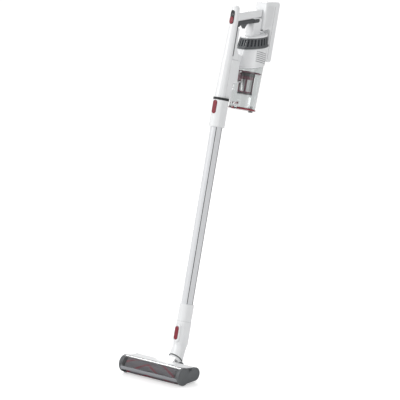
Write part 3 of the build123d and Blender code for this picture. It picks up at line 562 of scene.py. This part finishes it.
class VACUUM_OT_grip_ends(bpy.types.Operator):
    """Add the grip's soft ends, which wrap onto the column's flanks"""

    bl_idname = "vacuum.grip_ends"
    bl_label = "Grip Ends"

    start, turn_in, end = 82.8, 88.0, 106.2
    flat_x, edge, half = 12.0, 5.3, 6.4

    def execute(self, context):
        ends = []
        for flank in (-1, 1):
            sections = []
            for step in range(40):
                depth = self.start + (self.end - self.start) * step / 39
                out = flank * (self.flat_x + sqrt(self.edge**2 - max(self.turn_in - depth, 0.0) ** 2))
                back = out - flank * 0.9
                half = sqrt(self.half**2 - max(depth - self.end + self.half - 0.2, 0.0) ** 2)
                middle = 1091.0 + 0.264 * (depth - self.start)
                corners = ((back, -half), (out, -half + 0.3), (out, half - 0.3), (back, half))
                sections.append([Vector((x, depth, middle + rise)) for x, rise in corners])
            ends.append(skin(sections))
        piece("grip_ends", joined(ends), WAND, "handheld", "grip")
        return {"FINISHED"}


class VACUUM_OT_crown(bpy.types.Operator):
    """Add the crown's smoked liner and the pleated filter behind it"""

    bl_idname = "vacuum.crown"
    bl_label = "Crown and Filter"

    low, high, bottom_r, top_r = 1012.0, 1046.0, 49.0, 43.6

    def outline(self, height, inset, count, fold=0.0):
        """The crown's own outline at a height, moved in, with every other point folded further in."""
        rise = (height - self.low) / (self.high - self.low)
        radius = self.bottom_r + (self.top_r - self.bottom_r) * rise - inset
        points = []
        for step in range(count):
            turn = 2 * pi * step / count
            out = radius - (fold if step % 2 else 0.0)
            local = Vector((out * cos(turn), out / cos(TILT) * sin(turn), 0.0))
            points.append(slanted(height) @ local)
        return points

    def execute(self, context):
        folds = context.scene.vacuum_sizes.pleats * 2
        heights = (self.low + 1.4, self.high - 1.4)
        liner = hoop(
            [self.outline(h, 3.0, 96) for h in heights], [self.outline(h, 3.7, 96) for h in heights]
        )
        piece("crown_liner", liner, Matrix.Identity(4), "handheld", "smoked_liner")
        pleats = hoop(
            [self.outline(h, 4.3, folds, 3.0) for h in heights],
            [self.outline(h, 5.0, folds, 3.0) for h in heights],
        )
        piece(
            "filter_pleats", pleats, Matrix.Identity(4), "handheld", "filter_dark", ["exhaust_filter"], 20.0
        )
        return {"FINISHED"}


class VACUUM_OT_barrel(bpy.types.Operator):
    """Add the motor barrel's fine lines and a grey sheet behind its louvres, painted shade for the housing's
    shaded inside
    """

    bl_idname = "vacuum.barrel"
    bl_label = "Motor Barrel"

    radius, line_heights = 49.0, (956.0, 962.0, 1003.0)

    def execute(self, context):
        lines = []
        for height in self.line_heights:
            rings = []
            for out, rise in ((0.12, -0.3), (0.12, 0.3), (-0.6, 0.3), (-0.6, -0.3)):
                points = circle(self.radius + out, rise, 128, (self.radius + out) / cos(TILT))
                rings.append([slanted(height) @ point for point in points])
            lines.append(skin(rings, looped=True))
        piece("barrel_lines", joined(lines), Matrix.Identity(4), "handheld", "panel_white")
        # a grey sheet inside the barrel behind the louvres: painted shade where the housing's inside lies in shade
        sheets = []
        for flank in (-1, 1):
            sections = []
            for degrees in range(-44, 45, 4):
                turn = radians(degrees)
                section = []
                for radius, height in ((44.6, 961), (46.0, 961), (46.0, 1000), (44.6, 1000)):
                    place = (flank * radius * cos(turn), MOTOR_DEPTH + radius * sin(turn), height)
                    section.append(Vector(place))
                sections.append(section)
            sheets.append(skin(sections))
        piece("louvre_shade_sheet", joined(sheets), WAND, "handheld", "louvre_grey")
        return {"FINISHED"}


class VACUUM_OT_bin_details(bpy.types.Operator):
    """Add the cyclone's dark bands and the pleated cartridge"""

    bl_idname = "vacuum.bin_details"
    bl_label = "Bin Details"

    cage_r = 24.0

    def execute(self, context):
        centre = (0.0, MOTOR_DEPTH)
        bands = []
        for low, high in ((857.2, 862.5), (914.5, 924.6)):
            outer = [circle(self.cage_r + 0.35, h, 96, centre=centre) for h in (low, high)]
            inner = [circle(self.cage_r + 0.02, h, 96, centre=centre) for h in (low, high)]
            bands.append(hoop(outer, inner))
        piece("cage_bands", joined(bands), WAND, "bin", "seam_black")
        folds = []
        for radius_in in (0.0, 0.8):
            for height in (866.0, 928.0):
                ring = []
                for step in range(96):
                    turn = 2 * pi * step / 96
                    out = 15.8 - radius_in - (3.0 if step % 2 else 0.0)
                    ring.append(Vector((out * cos(turn), MOTOR_DEPTH + out * sin(turn), height)))
                folds.append(ring)
        pleats = hoop(folds[:2], folds[2:])
        rim = hoop(
            [circle(19.0, h, 96, centre=centre) for h in (928.2, 930.9)],
            [circle(12.0, h, 96, centre=centre) for h in (928.2, 930.9)],
        )
        steps = ((15.8, 864.1), (15.8, 865.6), (12.0, 866.0))
        cap = skin([circle(r, h, 96, centre=centre) for r, h in steps])
        cartridge = joined([pleats, rim, cap])
        piece("cartridge_pleats", cartridge, WAND, "bin", "filter_cloth", ["cartridge_filter"], 20.0)
        return {"FINISHED"}


class VACUUM_OT_battery_panels(bpy.types.Operator):
    """Add the battery's raised side panels, whose greyer white is painted shade for the flanks, and the seam of
    its rear band
    """

    bl_idname = "vacuum.battery_panels"
    bl_label = "Battery Panels"

    flank_x = 23.0

    def panel(self, inset, x):
        """The panel's rounded outline on a flank."""
        corners = [(131.0, 1074.0), (162.0, 1086.5), (162.0, 1151.5), (131.0, 1151.5)]
        turns = [(200, 292), (292, 360), (0, 90), (90, 180)]
        points = []
        for (depth, height), (start, end) in zip(corners, turns):
            radius = 5.0
            sign_n = 1 if depth < 145 else -1
            sign_t = 1 if height < 1100 else -1
            centre = (depth + sign_n * radius, height + sign_t * (radius + (1.5 if height < 1080 else 0)))
            points += arc(centre, radius - inset, start, end, 8)
        return [Vector((x, depth, height)) for depth, height in points]

    def execute(self, context):
        panels, seams = [], []
        for flank in (-1, 1):
            face = Vector((flank, 0, 0))
            x = flank * self.flank_x
            steps = ((0.0, -0.2), (0.0, 0.25), (0.5, 0.5))
            panels.append(skin([self.panel(inset, x + flank * out) for inset, out in steps]))
            half = context.scene.vacuum_sizes.seam / MM / 2
            low, high = Vector((x, 169.5, 983.0)), Vector((x, 169.5, 1153.0))
            seams.append(strip(low, high, half, -0.2, 0.12, face))
        # the side panels take the greyer white: painted shade on the battery's flanks
        piece("battery_side_panels_painted_shade", joined(panels), WAND, "battery", "panel_white")
        piece("battery_seams", joined(seams), WAND, "battery", "seam_black")
        return {"FINISHED"}


# ---------------------------------------------------------------- wand and neck


class VACUUM_OT_wand_details(bpy.types.Operator):
    """Add black strips in the wand's grooves, painted shade for the dark lines down the tube, and its button's
    spring
    """

    bl_idname = "vacuum.wand_details"
    bl_label = "Wand Details"

    low, high = 168.4, 736.6

    def execute(self, context):
        groove_shades = []
        # black strips set in the grooves: painted shade along the tube
        for flank in (-1, 1):
            lines = (
                (Vector((flank * 14.3, 8.5, 0)), Vector((flank, 0, 0)), 1.05, 0.45),
                (Vector((flank * 12.15, -15.2, 0)), Vector((flank * 0.813, -0.582, 0)), 1.1, 0.12),
            )
            for foot, face, half, out in lines:
                low, high = foot + Vector((0, 0, self.low)), foot + Vector((0, 0, self.high))
                groove_shades.append(strip(low, high, half, -0.3, out, face))
        piece("wand_groove_shade", joined(groove_shades), WAND, "wand", "seam_black")
        path = []
        for step in range(100):
            turn = 2 * pi * 4 * step / 99
            path.append(Vector((2.3 * cos(turn), -21.9 - 3.2 * step / 99, 799.0 + 2.3 * sin(turn))))
        piece("button_coil", tube(path, 0.35), WAND, "wand", "steel", ["wand_spring"])
        return {"FINISHED"}


class VACUUM_OT_hose(bpy.types.Operator):
    """Add the corrugated hose inside the swivel"""

    bl_idname = "vacuum.hose"
    bl_label = "Swivel Hose"

    def execute(self, context):
        axis = Vector(JOINTS["neck_swivel"]["axis"]).normalized()
        place = at_joint("neck_swivel", Vector((0, axis.z, -axis.y)), axis)
        outer, inner = [], []
        for step in range(49):
            height = -13.0 + 9.0 * step / 48
            wave = 0.5 + 0.5 * cos(2 * pi * 3 * step / 48)
            outer.append(circle(13.6 + 1.3 * wave, height, 64))
            inner.append(circle(12.4 + 1.3 * wave, height, 64))
        hose = skin(outer + inner[::-1], looped=True)
        piece("corrugated_hose", hose, place, "yoke", "bellows", ["flex_hose"])
        return {"FINISHED"}


# ---------------------------------------------------------------- floor head


class VACUUM_OT_head_caps(bpy.types.Operator):
    """Add the end caps with their bevelled edge and sunk panel"""

    bl_idname = "vacuum.head_caps"
    bl_label = "End Caps"

    outside, inside = 125.0, 116.0

    def execute(self, context):
        roll = JOINTS["brush_spin"]["pos_m"]
        for node, body, flank, stub, reach in (
            ("left_cap", "head", -1, 4.0, 109.0), ("right_cap", "right_cap", 1, 6.0, 98.0)
        ):
            steps = (
                (2.6, self.inside + 5.8), (2.6, self.inside), (0.0, self.inside), (0.0, self.outside - 2.6),
                (0.3, self.outside - 1.4), (0.9, self.outside - 0.55), (1.8, self.outside - 0.1),
                (2.6, self.outside), (4.6, self.outside),
                (5.1, self.outside - 0.7), (5.5, self.outside - 0.8),
            )
            shell = skin([bean(inset, flank * x) for inset, x in steps])
            turns = [2 * pi * step / 40 for step in range(40)]
            axle = skin([
                [Vector((flank * x, roll[1] / MM + r * cos(a), roll[2] / MM + r * sin(a))) for a in turns]
                for x, r in ((self.inside + 5.9, stub), (reach + 1.0, stub), (reach, stub - 0.8))
            ])
            piece(f"{node}_shell", joined([shell, axle]), ON_FLOOR, body, "dark_grey", [node], 25.0)
        return {"FINISHED"}


class VACUUM_OT_brush(bpy.types.Operator):
    """Add the brush roll's striped fibre and its helical bristle rows"""

    bl_idname = "vacuum.brush"
    bl_label = "Brush Roll"

    end, core, twist = 103.0, 15.0, 0.021
    chevron_x, rough_by = -12.0, 0.7          # where the chevrons meet, and how uneven the fibre is
    root, tip, thick = 1.6, 24.5, 0.28        # a bristle's depth in the fibre, reach and half thickness

    def helix(self, x):
        """The turn of the chevron pattern at a place along the roll."""
        return abs(x - self.chevron_x) * self.twist

    def execute(self, context):
        sizes = context.scene.vacuum_sizes
        fibre = sizes.fleece_radius / MM
        rng = random.Random(7)
        count, sections = 128, []
        for step in range(83):
            x = -self.end + 2 * self.end * step / 82
            low = self.core if step in (0, 82) else None
            section = []
            for index in range(count):
                turn = 2 * pi * index / count + self.helix(x)
                out = low or fibre - rng.uniform(0.0, self.rough_by)
                section.append(Vector((x, out * cos(turn), out * sin(turn))))
            sections.append(section)
        roll = skin(sections)
        rows = sizes.bristle_rows
        for face in roll.faces:
            middle = face.calc_center_median()
            turn = (atan2(middle.z, middle.y) - self.helix(middle.x)) % (2 * pi / rows)
            face.material_index = 1 if 0.22 < turn / (2 * pi / rows) < 0.44 else 0
        place = at_joint("brush_spin", Vector((0, 1, 0)), Vector((0, 0, 1)))
        fleece = piece("brush_fibre", roll, place, "brush_roll", "fleece", ["brush_nap"], 180.0)
        fleece.data.materials.append(bpy.data.materials["fleece_stripe"])
        tufts = bmesh.new()
        for row in range(rows):
            for step in range(124):
                x = -self.end + 2 + (2 * self.end - 4) * step / 123
                for _ in range(4):
                    turn = 2 * pi * row / rows + self.helix(x)
                    self.bristle(tufts, x + rng.uniform(-0.8, 0.8), turn, fibre, rng)
        piece("bristle_rows", tufts, place, "brush_roll", "bristle", sharp=180.0)
        return {"FINISHED"}

    def bristle(self, shape, x, turn, fibre, rng):
        """One thin bristle that leaves the fibre along a radius."""
        turn += rng.uniform(-0.035, 0.035)
        foot, tip, half = fibre - self.root, self.tip - rng.uniform(0.0, 0.3), self.thick
        out = Vector((0, cos(turn), sin(turn)))
        side = Vector((0, -sin(turn), cos(turn)))
        base = Vector((x, 0, 0)) + out * foot
        point = shape.verts.new(Vector((x + rng.uniform(-0.4, 0.4), 0, 0)) + out * tip)
        along = Vector((half, 0, 0))
        ring = [base + along, base + side * half, base - along, base - side * half]
        verts = [shape.verts.new(corner) for corner in ring]
        for index in range(4):
            shape.faces.new((verts[index], verts[(index + 1) % 4], point))
        shape.faces.new(verts[::-1])


class VACUUM_OT_head_details(bpy.types.Operator):
    """Add the window's edge trims and the lamp bezels"""

    bl_idname = "vacuum.head_details"
    bl_label = "Head Details"

    house_y, house_z, house_r = -42.0, 30.0, 28.0

    def around(self, degrees, radius):
        """A place on a circle about the window's own axis, from straight forward towards the top."""
        turn = radians(degrees)
        return self.house_y - radius * cos(turn), self.house_z + radius * sin(turn)

    def execute(self, context):
        trims = []
        for flank in (-1, 1):
            sections = []
            for degrees in range(0, 95, 5):
                y, z = self.around(degrees, self.house_r - 2.3)
                y_low, z_low = self.around(degrees, self.house_r - 3.3)
                low, high = flank * 110.5, flank * 113.2
                corners = ((low, y, z), (high, y, z), (high, y_low, z_low), (low, y_low, z_low))
                sections.append([Vector(corner) for corner in corners])
            trims.append(skin(sections))
        piece("window_trims", joined(trims), ON_FLOOR, "head", "dark_grey")
        bezels = []
        lamp_low, lamp_high = (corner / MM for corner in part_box("lights"))
        middle = (lamp_low.z + lamp_high.z) / 2
        width = lamp_high.x - lamp_low.x
        for index in range(3):
            x = lamp_low.x + 2.5 + (width - 5.0) * index / 2
            outer, inner = [], []
            for y in (lamp_low.y + 0.5, lamp_low.y - 0.05):
                turns = slot(2.6, 3.4, 32)
                outer.append([Vector((x + a_long, y, middle + a_short)) for a_short, a_long in turns])
                hole = [(0.72 * a_short, 0.74 * a_long) for a_short, a_long in turns]
                inner.append([Vector((x + a_long, y, middle + a_short)) for a_short, a_long in hole])
            bezels.append(hoop(outer, inner))
        piece("lamp_bezels", joined(bezels), ON_FLOOR, "head", "silver_strip")
        return {"FINISHED"}


# ---------------------------------------------------------------- stage


class VACUUM_OT_stage(bpy.types.Operator):
    """Add the floor, the lights, the sky and the camera"""

    bl_idname = "vacuum.stage"
    bl_label = "Stage"

    middle, camera_place = (0.0, 0.15, 0.6), (4.2815, -4.9027, 1.955)

    def area(self, name, place, target, size, power):
        """A square area light aimed at a place."""
        light = bpy.data.lights.new(name, "AREA")
        light.shape, light.size, light.energy = "SQUARE", size, power
        lamp = bpy.data.objects.new(name, light)
        bpy.context.scene.collection.objects.link(lamp)
        lamp.location = place
        lamp.rotation_euler = (Vector(target) - Vector(place)).to_track_quat("-Z", "Y").to_euler()

    def execute(self, context):
        stage = context.scene.vacuum_stage
        half = stage.floor_size / 2
        mesh = bpy.data.meshes.new("floor")
        corners = [(-half, -half, 0), (half, -half, 0), (half, half, 0), (-half, half, 0)]
        mesh.from_pydata(corners, [], [(0, 1, 2, 3)])
        floor = bpy.data.objects.new("floor", mesh)
        context.scene.collection.objects.link(floor)
        tree, shader, _ = finish(
            "floor_white", [0.86] * 3, 0.16, shift=0.01, spread=0.02, bump=0.002, Scale=200.0
        )
        seen = tree.nodes.new("ShaderNodeLightPath").outputs["Is Camera Ray"]
        shader.inputs["Emission Color"].default_value = (1.0, 1.0, 1.0, 1)
        tree.links.new(math(tree, "MULTIPLY", seen, stage.floor_glow), shader.inputs["Emission Strength"])
        mesh.materials.append(bpy.data.materials["floor_white"])
        for name, place, size, share in (
            ("key", (-1.6, -3.4, 3.2), 2.2, 1.0),
            ("rim", (-2.4, 2.6, 2.4), 1.6, 0.5),
            ("fill", (3.6, -0.6, 1.2), 1.8, 0.12),
        ):
            self.area(name, place, self.middle, size, stage.key_power * share)
        sky = bpy.data.worlds.new("sky")
        sky.use_nodes = True
        context.scene.world = sky
        shade = sky.node_tree.nodes["Background"]
        shade.inputs["Color"].default_value = (1.0, 1.0, 1.0, 1)
        path = sky.node_tree.nodes.new("ShaderNodeLightPath").outputs["Is Camera Ray"]
        seen = math(sky.node_tree, "MULTIPLY", path, 1.0 - stage.sky)
        strength = math(sky.node_tree, "ADD", seen, stage.sky)
        sky.node_tree.links.new(strength, shade.inputs["Strength"])
        context.scene.view_settings.view_transform = "Standard"
        self.camera(context, stage)
        return {"FINISHED"}

    def camera(self, context, stage):
        """The camera, far off with a long lens."""
        lens = bpy.data.cameras.new("camera")
        lens.lens, lens.sensor_width = stage.lens, 36.0
        camera = bpy.data.objects.new("camera", lens)
        context.scene.collection.objects.link(camera)
        camera.location = self.camera_place
        camera.rotation_euler = (pi / 2 - stage.view_drop, 0.0, stage.view_turn)
        context.scene.camera = camera


OPERATORS = (
    VACUUM_OT_finishes,
    VACUUM_OT_slider_bezel,
    VACUUM_OT_grip_ends,
    VACUUM_OT_crown,
    VACUUM_OT_barrel,
    VACUUM_OT_bin_details,
    VACUUM_OT_battery_panels,
    VACUUM_OT_wand_details,
    VACUUM_OT_hose,
    VACUUM_OT_head_caps,
    VACUUM_OT_brush,
    VACUUM_OT_head_details,
    VACUUM_OT_stage,
)


class VACUUM_PT_panel(bpy.types.Panel):
    """Lists the settings and the steps that make the vacuum"""

    bl_label = "Stick Vacuum"
    bl_idname = "VACUUM_PT_panel"
    bl_space_type = "VIEW_3D"
    bl_region_type = "UI"
    bl_category = "Vacuum"

    def draw(self, context):
        scene = context.scene
        for settings in (scene.vacuum_colours, scene.vacuum_sizes, scene.vacuum_stage):
            for name in settings.__annotations__:
                self.layout.prop(settings, name)
        for operator in OPERATORS:
            self.layout.operator(operator.bl_idname)


SETTINGS = {"vacuum_colours": VacuumColours, "vacuum_sizes": VacuumSizes, "vacuum_stage": VacuumStage}


def register():
    for group in SETTINGS.values():
        bpy.utils.register_class(group)
    for operator in OPERATORS:
        bpy.utils.register_class(operator)
    bpy.utils.register_class(VACUUM_PT_panel)
    for name, group in SETTINGS.items():
        setattr(bpy.types.Scene, name, PointerProperty(type=group))


def unregister():
    for name in SETTINGS:
        delattr(bpy.types.Scene, name)
    bpy.utils.unregister_class(VACUUM_PT_panel)
    for group in OPERATORS + tuple(SETTINGS.values()):
        bpy.utils.unregister_class(group)


def main():
    register()
    for operator in OPERATORS:
        group, name = operator.bl_idname.split(".")
        getattr(getattr(bpy.ops, group), name)()


if __name__ == "__main__":
    main()
